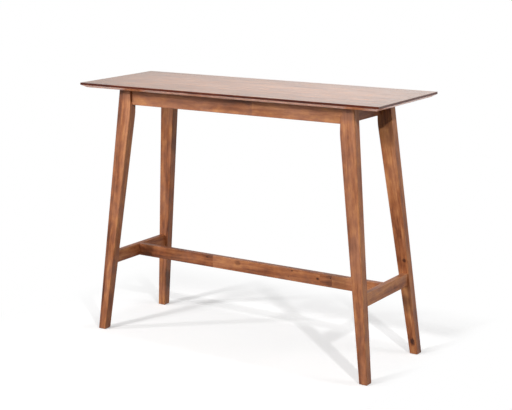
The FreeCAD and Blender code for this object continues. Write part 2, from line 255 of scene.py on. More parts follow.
class Finish:
    """A finish: one surface shader, fed with looks that run through the piece."""

    name: str

    def looks(self, graph: Graph) -> dict[str, Value]:
        """The shader's inputs by name."""
        raise NotImplementedError

    def build(self) -> Material:
        """Builds the material.

        Returns:
            The finished material.
        """
        material = bpy.data.materials.new(self.name)
        graph = fresh_graph(material)
        graph.add("ShaderNodeOutputMaterial", {0: graph.out("ShaderNodeBsdfPrincipled", self.looks(graph))})
        return material


@dataclass(frozen=True)
class Palette:
    """Colours of one stained wood, from its darkest streaks to its lightest."""

    dark: Colour
    deep: Colour
    middle: Colour
    light: Colour
    mauve: Colour
    knot: Colour
    deep_at: float = 0.32
    middle_at: float = 0.58
    mauve_range: Span = (0.42, 1.45)

    def stops(self) -> list[tuple[float, Colour]]:
        """The stops of the tone ramp."""
        return [(0.0, self.dark), (self.deep_at, self.deep), (self.middle_at, self.middle), (1.0, self.light)]

    def mauve_stops(self) -> list[tuple[float, Colour]]:
        """The stops of the mauve-brown ramp, as dark or light as the tone ramp at each place."""
        dark, light = (tuple(part * share for part in self.mauve) for share in self.mauve_range)
        return [(0.0, dark), (self.middle_at, self.mauve), (1.0, light)]


WALNUT_STAIN = Palette(dark=linear(74, 34, 16), deep=linear(124, 68, 38), middle=linear(158, 97, 59),
                       light=linear(194, 134, 86), mauve=linear(146, 97, 74), knot=linear(48, 20, 10))
TOP_STAIN = Palette(dark=linear(84, 46, 26), deep=linear(136, 86, 56), middle=linear(172, 118, 82),
                    light=linear(206, 154, 114), mauve=linear(160, 116, 92), knot=linear(56, 28, 16))
RAW_WOOD = Palette(dark=linear(150, 112, 72), deep=linear(182, 144, 100), middle=linear(204, 170, 126),
                   light=linear(224, 194, 152), mauve=linear(186, 150, 118), knot=linear(110, 72, 40))


@dataclass(frozen=True)
class Stave:
    """One strip or length of a glued-up board, from its start to the next one's."""

    start: float
    tone: float
    mauve: float = 0.0


@dataclass(frozen=True)
class Knot:
    """A small knot or dark fleck at a place on the table, drawn out along the grain."""

    place: Place
    size: float = 0.006
    depth: float = 0.8
    drawn: float = 1.3


@dataclass(frozen=True)
class Board:
    """Where a board lies, and which way its grain and its wide face run."""

    middle: Vector
    grain: Vector
    width: Vector

    def axes(self) -> Matrix:
        """Rows along the grain, across the board and through it."""
        along = self.grain.normalized()
        across = (self.width - along * self.width.dot(along)).normalized()
        return Matrix((along, across, along.cross(across)))

    def coordinates(self, graph: Graph) -> Wire:
        """Coordinates along the grain, across the board and through it, from its middle.

        Args:
            graph: The graph to add the nodes to.

        Returns:
            The board's own coordinates in metres.
        """
        turn = self.axes()
        here = graph.out("ShaderNodeTexCoord", output="Object")
        return graph.out("ShaderNodeMapping", {0: here, 1: -(turn @ self.middle), 2: turn.to_euler("XYZ")})

    def local(self, place: Sequence[float]) -> Vector:
        """A place on the table in the board's own coordinates."""
        return self.axes() @ (Vector(place) - self.middle)


@dataclass(frozen=True)
class StainedWood(Finish):
    """Stained solid wood under satin lacquer, with its figure running through the board."""

    name: str
    board: Board
    seed: float
    palette: Palette = WALNUT_STAIN
    tone: float = 0.0
    mauve: float = 0.15
    strips: tuple[Stave, ...] = ()
    lengths: tuple[Stave, ...] = ()
    knots: tuple[Knot, ...] = ()
    figure: Layer = Layer(2.6, 46.0, 4.0, 0.62)
    streaks: float = 1.35
    clouds: float = 0.9
    mottle: float = 0.95
    rings: float = 0.14
    # How much lighter the rounded arrises are
    rubbed: float = 0.06
    gloss: float = 0.42
    shine: float = 0.22
    # Painted shade: lightens the wood along the grain from the board's middle, which on a leg is its foot
    climb: float = 0.0
    edge: Optional[Colour] = None
    # Painted light: a multiplier that lightens the undercut, as if light bounced up from the floor
    undercut: Colour = WHITE

    # What the figure is made of, and how far the streaks bend across and through the board
    bends: Layer = Layer(3.5, 11.0)
    bend_across: float = 0.06
    bend_through: float = -0.04
    hazes: Layer = Layer(5.0, 15.0)
    blotches: Layer = Layer(20.0, 40.0, 3.0, 0.6)
    fibres: Layer = Layer(26.0, 900.0, 3.0, 0.6)
    pits: Layer = Layer(70.0, 1500.0, 1.0)
    pit_range: Span = (0.12, 0.2)
    stave_shift: float = 3.7
    other_shift: float = 21.0

    # Growth rings round a pith that wanders outside the board, its place set by the seed
    wanders: tuple[tuple[Layer, float], ...] = ((Layer(1.6, 7.0), 0.03), (Layer(9.0, 22.0), 0.005))
    pith_depth: float = 0.075
    pith_spread: float = 0.03
    pith_turns: Span = (2.3, 1.7)
    ring_width: float = 0.0042
    ring_power: float = 2.2

    # Knots: their ragged rim, how flat they are through the board, and where they end
    ragged: Layer = Layer(110.0, 260.0)
    raggedness: float = 1.6
    knot_through: float = 0.25
    knot_rim: Span = (0.5, 1.5)

    # Tone, mauve patches and knot colour; shares of fibre, blotches and pores in the roughness;
    # shares of fibre, pores, late wood and knots in the relief, with its strength and depth
    fine_tone: float = 0.16
    knot_tone: float = 0.3
    patches: float = 2.4
    patch_cover: float = 0.75
    knot_cover: float = 0.85
    rough_shares: tuple[float, ...] = (0.10, 0.20, 0.12)
    least_rough: float = 0.08
    relief_shares: tuple[float, ...] = (0.5, -1.0, -0.3, -0.8)
    bump: Span = (0.35, 0.0004)
    lacquer_index: float = 1.5

    # How far a normal leans on an arris, on the upright edge and on the undercut, and how the edge is finished
    arris_range: Span = (0.72, 0.975)
    upright_ranges: tuple[Span, Span] = ((0.80, 0.97), (0.3, 0.8))
    undercut_ranges: tuple[Span, Span] = ((0.5, 0.8), (0.92, 0.97))
    upright_rough: float = 0.25
    undercut_rough: float = 0.10
    upright_shine: float = 0.15
    end_grain_dip: float = -0.6

    def steps(self, place: Wire, staves: Sequence[Stave]) -> tuple[Value, Value, Value]:
        """Adds the tone, mauve and figure steps of glued strips or lengths.

        Args:
            place: Coordinate that crosses the glue lines.
            staves: The strips in order.

        Returns:
            Tone, mauve share and figure shift, each a wire or a number.
        """
        tone: Value = staves[0].tone if staves else 0.0
        mauve: Value = staves[0].mauve if staves else 0.0
        shift: Value = 0.0
        for before, stave in zip(staves, staves[1:]):
            past = place.graph.math("GREATER_THAN", place, stave.start)
            tone = past * (stave.tone - before.tone) + tone
            mauve = past * (stave.mauve - before.mauve) + mauve
            shift = past * self.stave_shift + shift
        return tone, mauve, shift

    def knot_mask(self, graph: Graph, here: Wire) -> Value:
        """How much each point lies in a knot, with a ragged rim.

        Args:
            graph: The graph to add to.
            here: The board's own coordinates.

        Returns:
            The mask, from 0 to 1.
        """
        masks: Value = 0.0
        if self.knots:
            rag = here.noise(self.ragged) * self.raggedness
        for knot in self.knots:
            away = graph.vector("SUBTRACT", here, tuple(self.board.local(knot.place)))
            size = (1 / (knot.size * knot.drawn), 1 / knot.size, self.knot_through / knot.size)
            reach = graph.vector("LENGTH", graph.vector("MULTIPLY", away, size), output="Value")
            masks = (1.0 - (reach + rag).between(self.knot_rim)) * knot.depth + masks
        return masks

    def arris_mask(self, graph: Graph) -> Wire:
        """Marks the rounded arrises, whose normals look between two faces.

        Args:
            graph: The graph to add to.

        Returns:
            1 on an arris and 0 on the faces.
        """
        normal = graph.out("ShaderNodeNewGeometry", output="True Normal")
        shares = [graph.math("ABSOLUTE", graph.vector("DOT_PRODUCT", normal, tuple(way), output="Value"))
                  for way in self.board.axes()]
        most = graph.math("MAXIMUM", graph.math("MAXIMUM", shares[0], shares[1]), shares[2])
        return 1.0 - most.between(self.arris_range)

    def growth(self, graph: Graph, here: Wire, shift: Value) -> Wire:
        """The growth rings: late wood at 1, early wood at 0.

        Args:
            graph: The graph to add to.
            here: The board's own coordinates.
            shift: The board's figure shift.

        Returns:
            The ring pattern.
        """
        _, across, through = here.parts()
        deep_turn, wide_turn = (self.seed * turn for turn in self.pith_turns)
        deep = through + (self.pith_depth + self.pith_spread * math.sin(deep_turn))
        wide = across + self.pith_spread * math.cos(wide_turn)
        radius = graph.math("SQRT", deep * deep + wide * wide)
        for layer, depth in self.wanders:
            radius = here.noise(layer, shift) * depth + radius
        return graph.math("POWER", graph.math("FRACT", radius * (1 / self.ring_width)), self.ring_power)

    def edged(self, graph: Graph, colour: Wire, rough: Wire) -> tuple[Wire, Wire, Wire]:
        """Darkens and dulls the upright edge, where more stain soaks in, and lightens the undercut with painted light,
        as if bounced up from the floor.

        Args:
            graph: The graph to add to.
            colour: The colour of the faces.
            rough: The roughness of the faces.

        Returns:
            Colour, roughness and shine, with the edge.
        """
        upward = graph.out("ShaderNodeNewGeometry", output="True Normal").parts()[2]
        downward = upward * -1.0
        above, below = self.upright_ranges
        upright = (1.0 - upward.between(above)) * (1.0 - downward.between(below))
        lean, level = self.undercut_ranges
        undercut_face = downward.between(lean) * (1.0 - downward.between(level))
        darker = graph.blend(1.0, colour, self.edge, "MULTIPLY")
        # Painted light: the undercut lightened as if lit from the floor below; its face also gets more roughness
        painted_bounce_light = graph.blend(1.0, colour, self.undercut, "MULTIPLY")
        colour = graph.blend(upright, graph.blend(undercut_face, colour, painted_bounce_light), darker)
        rough = rough + upright * self.upright_rough + undercut_face * self.undercut_rough
        end_grain = graph.math("ABSOLUTE", graph.out("ShaderNodeNewGeometry", output="Normal").parts()[0])
        dull = upright * (end_grain * self.end_grain_dip + 1.0)
        return colour, rough, dull * (self.upright_shine - self.shine) + self.shine

    def looks(self, graph: Graph) -> dict[str, Value]:
        """Draws the looks.

        Args:
            graph: The graph to add to.

        Returns:
            The shader's inputs by name.
        """
        here = self.board.coordinates(graph)
        along, across, _ = here.parts()
        tone, mauve, shift = (first + second + third for first, second, third in zip(
            (self.palette.middle_at + self.tone, self.mauve, self.seed),
            self.steps(across, self.strips), self.steps(along, self.lengths)))
        other = shift + self.other_shift

        bend = here.noise(self.bends, other)
        flow = graph.vector("ADD", here, graph.joined(0.0, bend * self.bend_across, bend * self.bend_through))
        streak = flow.noise(self.figure, shift)
        cloud = here.noise(self.hazes, other)
        blotch = here.noise(self.blotches, shift)
        fibre = here.noise(self.fibres, shift)
        pores = here.noise(self.pits, other).between(self.pit_range)
        late = self.growth(graph, here, shift)
        knots = self.knot_mask(graph, here)

        # Tone: figure, growth rings and knots, plus painted shade that darkens a leg towards its foot and a lighter
        # tone on the arrises
        for source, weight in ((streak, self.streaks), (cloud, self.clouds), (blotch, self.mottle),
                               (along, self.climb), (fibre, self.fine_tone), (late, -self.rings),
                               (pores, -self.fine_tone), (self.arris_mask(graph), self.rubbed),
                               (knots, -self.knot_tone)):
            tone = source * weight + tone
        dull = graph.math("MULTIPLY_ADD", cloud - blotch, self.patches, mauve, clamp=True)
        colour = graph.blend(dull * self.patch_cover, graph.ramp(tone, self.palette.stops()),
                             graph.ramp(tone, self.palette.mauve_stops()))
        colour = graph.blend(graph.math("MINIMUM", knots, self.knot_cover), colour, self.palette.knot)

        rough = sum((source * share for source, share in zip((fibre, blotch, pores), self.rough_shares)), self.gloss)
        relief = sum(source * share for source, share in zip((fibre, pores, late, knots), self.relief_shares))
        shine: Value = self.shine
        if self.edge:
            colour, rough, shine = self.edged(graph, colour, rough)
        return {"Base Color": colour, "Roughness": graph.math("MAXIMUM", rough, self.least_rough),
                "Normal": graph.relief(relief, *self.bump), "IOR": self.lacquer_index, "Specular IOR Level": shine}


@dataclass(frozen=True)
class Speck:
    """A layer of noise in a hard finish, with its shares in tone and roughness."""

    layer: Layer
    tone: float = 1.0
    rough: float = 0.0


@dataclass(frozen=True)
class Speckled(Finish):
    """A hard finish with specks or lines, the last of which stand in relief, under marks of use."""

    name: str
    stops: tuple[tuple[float, Colour], ...]
    shade: float
    specks: tuple[Speck, ...]
    rough: float
    bump: Span
    marks: Layer
    mark_range: Span
    mark_colour: Colour
    mark_cover: float
    mark_rough: float = 0.25
    mark_shift: float = 0.0
    metal: float = 0.0

    def looks(self, graph: Graph) -> dict[str, Value]:
        """Draws the looks.

        Args:
            graph: The graph to add to.

        Returns:
            The shader's inputs by name.
        """
        here = graph.out("ShaderNodeTexCoord", output="Object")
        mark = here.noise(self.marks, self.mark_shift).between(self.mark_range)
        tone, rough = self.shade, mark * self.mark_rough + self.rough
        for speck in self.specks:
            fine = here.noise(speck.layer)
            tone, rough = fine * speck.tone + tone, fine * speck.rough + rough
        colour = graph.blend(mark * self.mark_cover, graph.ramp(tone, self.stops), self.mark_colour)
        return {"Base Color": colour, "Roughness": rough, "Metallic": self.metal,
                "Normal": graph.relief(fine, *self.bump)}


# Bright zinc plate with a faint mottled sheen, fine rolling lines and grime
ZINC_PLATE = Speckled(
    "zinc_plate", ((0.2, (0.40, 0.40, 0.38)), (0.6, (0.60, 0.60, 0.57)), (1.0, (0.72, 0.73, 0.72))), 0.55,
    (Speck(Layer(300.0, 300.0, 3.0, 0.6), rough=0.2), Speck(Layer(200.0, 4000.0), 0.3)), 0.32, (0.2, 0.0001),
    marks=Layer(60.0, 60.0, 4.0, 0.6), mark_range=(0.05, 0.3), mark_colour=(0.20, 0.18, 0.15), mark_cover=0.4,
    mark_shift=3.0, metal=1.0)
# Dark hard plastic with a fine moulded grain and scuffs from the floor
MOULDED_PLASTIC = Speckled(
    "moulded_plastic", ((0.0, (0.012, 0.010, 0.009)), (1.0, (0.035, 0.030, 0.026))), 0.4,
    (Speck(Layer(2500.0, 2500.0)),), 0.42, (0.3, 0.0001),
    marks=Layer(400.0, 120.0, 4.0, 0.7, 400.0), mark_range=(0.06, 0.25), mark_colour=(0.12, 0.11, 0.10),
    mark_cover=0.5)


class End(Enum):
    """The two ends of the table."""

    LEFT = -1
    RIGHT = 1


class Side(Enum):
    """The two long sides of the table."""

    FRONT = -1
    BACK = 1


def corner(kind: str, side: Side, end: End) -> str:
    """The node of one of a kind's four corner pieces."""
    return f"{kind}_{side.name.lower()}_{end.name.lower()}"


def dress(node: str, material: Material) -> None:
    """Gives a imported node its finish.

    Args:
        node: The node's name.
        material: The finish.
    """
    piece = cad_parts[node]
    if not piece.material_slots:
        piece.data.materials.append(material)
    for slot in piece.material_slots:
        slot.material = material
    log.info("%s: %s", node, material.name)


def node_middle(node: str) -> Vector:
    """The middle of a node's box."""
    low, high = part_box(node)
    return (low + high) / 2


@dataclass
class TableTop:
    """The board top: lengthwise grain, a darker upright edge and an undercut below, lightened with painted light from
    the floor.
    """

    node: str = "table_top"
    edge: Colour = (0.19, 0.06, 0.018)
    # Painted light on the undercut, as if bounced up from the floor
    undercut: Colour = (2.8, 2.3, 2.1)

    def make(self) -> None:
        """Dresses the top."""
        wood = StainedWood("top_wood", Board(node_middle(self.node), ALONG, ACROSS), 3.1, TOP_STAIN, mauve=0.0,
                           figure=Layer(3.0, 85.0, 4.0, 0.62), streaks=1.7, clouds=0.3, mottle=0.45, rings=0.20,
                           rubbed=0.0, gloss=0.17, shine=0.9, edge=self.edge, undercut=self.undercut)
        dress(self.node, wood.build())


@dataclass
class Leg:
    """One splayed leg, glued up from strips that run its whole length, with the grain running up from the foot and
    painted shade darkening it towards the foot.
    """

    side: Side
    end: End
    seed: float
    strips: tuple[Stave, ...] = ()
    knots: tuple[Knot, ...] = ()
    tone: float = -0.08
    mauve: float = 0.15
    # Painted shade: how much darker the leg grows towards its foot
    climb: float = 0.09
    foot_middle: Span = (0.6397, 0.2080)
    top_middle: Span = (0.5257, 0.1389)
    height: float = 1.04

    def make(self) -> None:
        """Dresses the leg."""
        node = corner("leg", self.side, self.end)
        sides = Vector((self.end.value, self.side.value, 1))
        foot = Vector((*self.foot_middle, 0)) * sides
        top = Vector((*self.top_middle, self.height)) * sides
        wood = StainedWood(node + "_wood", Board(foot, top - foot, ALONG), self.seed, tone=self.tone,
                           mauve=self.mauve, strips=self.strips, knots=self.knots, climb=self.climb)
        dress(node, wood.build())


@dataclass
class Rail:
    """An apron or a stretcher: a straight rail with the grain along it."""

    node: str
    seed: float
    grain: Vector = ALONG
    tone: float = 0.0
    mauve: float = 0.15
    clouds: float = 0.9
    lengths: tuple[Stave, ...] = ()
    knots: tuple[Knot, ...] = ()

    def make(self) -> None:
        """Dresses the rail."""
        wood = StainedWood(self.node + "_wood", Board(node_middle(self.node), self.grain, UP), self.seed,
                           tone=self.tone, mauve=self.mauve, clouds=self.clouds, lengths=self.lengths,
                           knots=self.knots)
        dress(self.node, wood.build())


@dataclass
class InnerWood:
    """Blocks, brace and dowels under the top, in raw hardwood."""

    gloss: float = 0.6
    cross_nodes: tuple[str, ...] = ("centre_brace", "brace_dowels")
    first_seed: float = 40.0
    seed_step: float = 5.0

    def make(self) -> None:
        """Dresses the inner pieces."""
        grains = {corner("corner_block", side, end): Vector((1, -side.value * end.value, 0))
                  for side in Side for end in End}
        grains.update((node, ACROSS) for node in self.cross_nodes)
        for number, (node, grain) in enumerate(grains.items()):
            wood = StainedWood(node + "_wood", Board(node_middle(node), grain, UP),
                               self.first_seed + number * self.seed_step, RAW_WOOD, mauve=0.0, streaks=0.5,
                               clouds=0.3, mottle=0.3, gloss=self.gloss)
            dress(node, wood.build())


@dataclass(frozen=True)
class Seat:
    """Where one fastener starts, the way it points and how long it is."""

    start: Vector
    way: Vector
    length: float


def loose_solids(node: str) -> list[np.ndarray]:
    """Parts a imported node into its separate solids.

    Args:
        node: The node's name.

    Returns:
        The corner points of each solid.
    """
    mesh = bmesh.new()
    mesh.from_mesh(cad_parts[node].data)
    bmesh.ops.remove_doubles(mesh, verts=mesh.verts, dist=WELD)
    solids, left = [], set(mesh.verts)
    while left:
        island = [left.pop()]
        for vert in island:  # which grows by the neighbours found
            for edge in vert.link_edges:
                other = edge.other_vert(vert)
                if other in left:
                    left.remove(other)
                    island.append(other)
        solids.append(np.array([tuple(vert.co) for vert in island]))
    mesh.free()
    return solids


def find_seat(points: np.ndarray, flat: bool) -> Seat:
    """Finds the seat of one turned solid: its axis, and the end that its head is at.

    Args:
        points: The solid's corner points.
        flat: Whether it is shorter along its axis than across.

    Returns:
        The seat, from the head end, or from the end nearer the table's middle if it has no head.
    """
    ways = [np.array(way) / math.hypot(*way) for way in product((-1, 0, 1), repeat=3) if any(way)]
    axis = (min if flat else max)(ways, key=lambda way: np.ptp(points @ way))
    along = points @ axis
    away = points - np.outer(along, axis)
    centre = (away.max(0) + away.min(0)) / 2
    reach = np.linalg.norm(away - centre, axis=1)
    low, high = along.min(), along.max()
    near, far = (reach[np.abs(along - stop) < (high - low) * END_SHARE].max() for stop in (low, high))
    outward = float(centre[:2] @ axis[:2]) >= 0
    if far > near * WIDER or (far > near * AS_WIDE and not outward):
        axis, low, high = -axis, -high, -low
    return Seat(Vector(centre + axis * low), Vector(axis), high - low)


class Workshop(Graph):
    """Shapes small fasteners from the sizes given to its tree; each shape stands on z, from its own start."""

    round_sides: int = 28
    egg_sides: tuple[int, int] = (32, 17)
    turn_sides: int = 20
    ridge_sides: int = 4
    crown_rings: int = 6
    slot_shares: Span = (1.15, 0.26)
    slot_depth: float = 1.1
    size: dict[str, Wire]

    def moved(self, shape: Wire, start: Value, size: Value = None) -> Wire:
        """The shape at its size, lifted to its start."""
        return self.out("GeometryNodeTransform",
                        {"Geometry": shape, "Translation": self.joined(z=start), "Scale": size})

    def rod(self, radius: Value, start: Value, length: Value, sides: int = round_sides) -> Wire:
        """A round rod, or a prism with few sides."""
        shape = self.out("GeometryNodeMeshCylinder", {"Vertices": sides, "Radius": radius, "Depth": length})
        return self.moved(shape, length * 0.5 + start)

    def taper(self, near: Value, far: Value, start: Value, length: Value) -> Wire:
        """A cone's length, from its near radius to its far one."""
        shape = self.out("GeometryNodeMeshCone", {"Vertices": self.round_sides, "Radius Top": far,
                                                  "Radius Bottom": near, "Depth": length})
        return self.moved(shape, start)

    def egg(self, radius: Value, half: Value, middle: Value) -> Wire:
        """A round form with its own half height, which makes a chamfer."""
        segments, rings = self.egg_sides
        ball = self.out("GeometryNodeMeshUVSphere", {"Segments": segments, "Rings": rings, "Radius": 1.0})
        return self.moved(ball, middle, self.joined(radius, radius, half))

    def thread(self, radius: Wire, depth: Wire, pitch: Value, start: Value, length: Wire) -> Wire:
        """Winds a helical ridge.

        Args:
            radius: The radius of its crest.
            depth: How far it stands out.
            pitch: The rise of one turn.
            start: Where it starts.
            length: How far it climbs.

        Returns:
            The ridge.
        """
        middle = radius - depth
        helix = self.out("GeometryNodeCurveSpiral", {"Resolution": self.turn_sides, "Rotations": length / pitch,
                                                     "Start Radius": middle, "End Radius": middle,
                                                     "Height": length})
        ridge = self.out("GeometryNodeCurvePrimitiveCircle", {"Resolution": self.ridge_sides, "Radius": depth})
        tube = self.out("GeometryNodeCurveToMesh", {"Curve": helix, "Profile Curve": ridge, "Fill Caps": True})
        return self.moved(tube, start)

    def together(self, *shapes: Wire) -> Wire:
        """Several shapes as one."""
        return self.out("GeometryNodeJoinGeometry", {0: list(shapes)})

    def common(self, *shapes: Wire) -> Wire:
        """What shapes have in common."""
        return self.out("GeometryNodeMeshBoolean", {"Mesh 2": list(shapes)}, operation="INTERSECT")

    def cut(self, shape: Wire, *tools: Wire) -> Wire:
        """The shape with the tools cut out of it."""
        return self.out("GeometryNodeMeshBoolean", {"Mesh 1": shape, "Mesh 2": list(tools)}, operation="DIFFERENCE")

    def pan_head(self, radius: Wire, height: Wire) -> Wire:
        """Shapes a low domed head with a cross recess, its crown at nought.

        Args:
            radius: Its radius.
            height: Its height.

        Returns:
            The head.
        """
        half = height * 0.5
        barrel = self.out("GeometryNodeMeshCylinder", {"Vertices": self.round_sides, "Radius": radius,
                                                       "Fill Segments": self.crown_rings, "Depth": height})
        x, y, z = self.out("GeometryNodeInputPosition").parts()
        sink = (x * x + y * y) / (radius * radius) * self.math("LESS_THAN", z, half) * half
        domed = self.out("GeometryNodeSetPosition",
                         {"Geometry": self.moved(barrel, half), "Offset": self.joined(z=sink)})
        long, short = (radius * share for share in self.slot_shares)
        slots = [self.out("GeometryNodeMeshCube", {"Size": self.joined(x, y, height * self.slot_depth)})
                 for x, y in ((long, short), (short, long))]
        return self.cut(domed, *slots)

    def set_out(self, seats: Wire, shape: Wire, material: Material) -> None:
        """Sets one shape on every seat and ends the tree.

        Args:
            seats: The seats' points.
            shape: The shape to set.
            material: Its finish.
        """
        way = self.out("GeometryNodeInputNamedAttribute", {"Name": "way"}, data_type="FLOAT_VECTOR")
        turn = self.out("FunctionNodeAlignRotationToVector", {"Vector": way}, axis="Z")
        spread = self.out("GeometryNodeInstanceOnPoints", {"Points": seats, "Instance": shape, "Rotation": turn})
        real = self.out("GeometryNodeRealizeInstances", {"Geometry": spread})
        self.add("NodeGroupOutput", {0: self.out("GeometryNodeSetMaterial", {"Geometry": real, "Material": material})})


@dataclass
class Fasteners:
    """Fasteners of one kind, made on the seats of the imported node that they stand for.

    A kind's fields after the first two are its named sizes, which its tree takes as inputs.
    """

    name: str
    node: str
    flat = False
    weld = 1e-7
    sharp_angle = 35.0

    def shape(self, shop: Workshop) -> Wire:
        """Shapes one fastener from its named sizes."""
        raise NotImplementedError

    def make(self, material: Material) -> None:
        """Makes the fasteners, as one plain mesh that stands for the node.

        Args:
            material: Their finish.
        """
        seats = sorted((find_seat(points, self.flat) for points in loose_solids(self.node)),
                       key=lambda seat: [round(share, 4) for share in seat.start])
        points = bpy.data.meshes.new(self.name + "_seats")
        points.from_pydata([tuple(seat.start) for seat in seats], [], [])
        ways = points.attributes.new("way", "FLOAT_VECTOR", "POINT")
        for item, seat in zip(ways.data, seats):
            item.vector = seat.way
        values = {"length": seats[0].length} | {item.name: getattr(self, item.name) for item in fields(self)[2:]}
        tree = bpy.data.node_groups.new(self.name, "GeometryNodeTree")
        tree.interface.new_socket("seats", in_out="INPUT", socket_type="NodeSocketGeometry")
        for size in values:
            tree.interface.new_socket(size, in_out="INPUT", socket_type="NodeSocketFloat")
        tree.interface.new_socket("pieces", in_out="OUTPUT", socket_type="NodeSocketGeometry")
        shop = Workshop(tree)
        shop.size = {socket.name: Wire(shop, socket) for socket in shop.add("NodeGroupInput").outputs}
        shop.set_out(shop.size["seats"], self.shape(shop), material)

        carrier = put_up(self.name + "_carrier", points)
        modifier = carrier.modifiers.new("fasteners", "NODES")
        modifier.node_group = tree
        for socket in tree.interface.items_tree:
            if socket.in_out == "INPUT" and socket.name in values:
                modifier[socket.identifier] = values[socket.name]
        bpy.context.view_layer.update()
        done = carrier.evaluated_get(bpy.context.evaluated_depsgraph_get())
        mesh = bpy.data.meshes.new_from_object(done)
        carrier.modifiers.remove(modifier)
        bpy.data.objects.remove(carrier)
        self.finish(mesh, material, len(seats))

    def finish(self, mesh: bpy.types.Mesh, material: Material, number: int) -> None:
        """Turns the faces outwards and hands the piece over.

        Args:
            mesh: The plain mesh.
            material: Its finish.
            number: How many fasteners it holds.
        """
        work = bmesh.new()
        work.from_mesh(mesh)
        bmesh.ops.remove_doubles(work, verts=work.verts, dist=self.weld)
        bmesh.ops.recalc_face_normals(work, faces=work.faces)
        work.to_mesh(mesh)
        work.free()
        mesh.shade_smooth()
        mesh.set_sharp_from_angle(angle=math.radians(self.sharp_angle))
        mesh.materials.clear()
        mesh.materials.append(material)
        mesh.name = self.name
        piece = put_up(self.name, mesh)
        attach(piece, BODY)
        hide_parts(self.node)
        log.info("%s: %d pieces, %d faces, for %s", self.name, number, len(mesh.polygons), self.node)


@dataclass
class WoodScrews(Fasteners):
    """Pan head wood screws with a cross recess, a plain neck, a thread and a point."""

    head_width: float = 0.0086
    head_height: float = 0.0028
    thread_width: float = 0.0045
    thread_depth: float = 0.0004
    pitch: float = 0.0020
    neck: float = 0.004
    point: float = 0.004
    core_depths = 1.4
    shank_start = 0.9
    tip_share = 0.1

    def shape(self, shop: Workshop) -> Wire:
        """Shapes one screw.

        Args:
            shop: The workshop with its sizes.

        Returns:
            The screw.
        """
        size = shop.size
        radius = size["thread_width"] * 0.5
        core = radius - size["thread_depth"] * self.core_depths
        shoulder = size["head_height"] * self.shank_start
        start = size["head_height"] + size["neck"]
        point = size["length"] - size["point"]
        return shop.together(
            shop.pan_head(size["head_width"] * 0.5, size["head_height"]),
            shop.rod(core, shoulder, point - shoulder),
            shop.taper(core, core * self.tip_share, point, size["point"]),
            shop.thread(radius, size["thread_depth"], size["pitch"], start, point - start))


@dataclass
class HangerBolts(Fasteners):
    """Hanger bolts: a machine thread at the nut, a plain middle and a wood thread in the leg."""

    thread_width: float = 0.008
    machine_depth: float = 0.0004
    machine_pitch: float = 0.00125
    wood_depth: float = 0.0006
    wood_pitch: float = 0.0032
    grip: float = 0.032
    chamfer: float = 0.001
    wood_core_depths = 1.3
    machine_core_depths = 1.4
    machine_start = 0.8
    machine_stop = 4.0
    tip_length = 0.004
    tip_share = 0.03

    def shape(self, shop: Workshop) -> Wire:
        """Shapes one bolt.

        Args:
            shop: The workshop with its sizes.

        Returns:
            The bolt.
        """
        size = shop.size
        radius, chamfer = size["thread_width"] * 0.5, size["chamfer"]
        core = radius - size["wood_depth"] * self.wood_core_depths
        root = radius - size["machine_depth"] * self.machine_core_depths
        grip = size["length"] - size["grip"]
        point = size["length"] - self.tip_length
        return shop.together(
            shop.taper(root - chamfer, root, 0.0, chamfer),
            shop.rod(root, chamfer, grip - chamfer),
            shop.thread(radius, size["machine_depth"], size["machine_pitch"], chamfer * self.machine_start,
                        grip - chamfer * self.machine_stop),
            shop.rod(core, grip, point - grip),
            shop.taper(core, core * self.tip_share, point, self.tip_length),
            shop.thread(radius, size["wood_depth"], size["wood_pitch"], grip, point - grip))


@dataclass
class HexNuts(Fasteners):
    """Six-sided nuts, chamfered at both faces and bored for the bolt."""

    across_flats: float = 0.013
    bore: float = 0.008
    flat = True
    chamfer_width = 0.683
    chamfer_height = 0.71

    def shape(self, shop: Workshop) -> Wire:
        """Shapes one nut.

        Args:
            shop: The workshop with its sizes.

        Returns:
            The nut.
        """
        size = shop.size
        flats, height = size["across_flats"], size["length"]
        prism = shop.rod(flats * (1 / math.sqrt(3)), 0.0, height, 6)
        chamfer = shop.egg(flats * self.chamfer_width, height * self.chamfer_height, height * 0.5)
        bore = shop.rod(size["bore"] * 0.5, height * -0.5, height * 2.0)
        return shop.cut(shop.common(prism, chamfer), bore)


@dataclass
class Washers(Fasteners):
    """Punched washers with rounded rims."""

    width: float = 0.016
    hole: float = 0.0086
    rim: float = 0.0003
    flat = True
    ring_sides = 40
    rim_sides = 3

    def shape(self, shop: Workshop) -> Wire:
        """Shapes one washer.

        Args:
            shop: The workshop with its sizes.

        Returns:
            The washer.
        """
        size = shop.size
        path = shop.out("GeometryNodeCurvePrimitiveCircle", {"Resolution": self.ring_sides,
                                                             "Radius": (size["width"] + size["hole"]) * 0.25})
        outline = shop.out("GeometryNodeCurvePrimitiveQuadrilateral",
                           {"Width": (size["width"] - size["hole"]) * 0.5, "Height": size["length"]})
        outline = shop.out("GeometryNodeFilletCurve", {"Curve": outline, "Radius": size["rim"],
                                                       "Count": self.rim_sides}, mode="POLY")
        ring = shop.out("GeometryNodeCurveToMesh", {"Curve": path, "Profile Curve": outline})
        return shop.moved(ring, size["length"] * 0.5)


@dataclass
class Ironmongery:
    """Bolts, nuts, washers, screws and brackets, and the glides under the feet."""

    def make(self) -> None:
        """Makes the fasteners and dresses the brackets and glides."""
        steel = ZINC_PLATE.build()
        for kind in (HangerBolts("hanger_bolts", "leg_bolts"), HexNuts("hex_nuts", "leg_nuts"),
                     Washers("round_washers", "leg_washers"), WoodScrews("block_wood_screws", "block_screws"),
                     WoodScrews("bracket_wood_screws", "bracket_screws", head_width=0.008, head_height=0.0024,
                                thread_width=0.004, pitch=0.0018, neck=0.002, point=0.003),
                     WoodScrews("glide_wood_screws", "glide_screws", head_width=0.0064, head_height=0.001,
                                thread_width=0.003, thread_depth=0.0003, pitch=0.0014, neck=0.002, point=0.003)):
            kind.make(steel)
        dress("top_brackets", steel)
        plastic = MOULDED_PLASTIC.build()
        for side in Side:
            for end in End:
                dress(corner("glide", side, end), plastic)


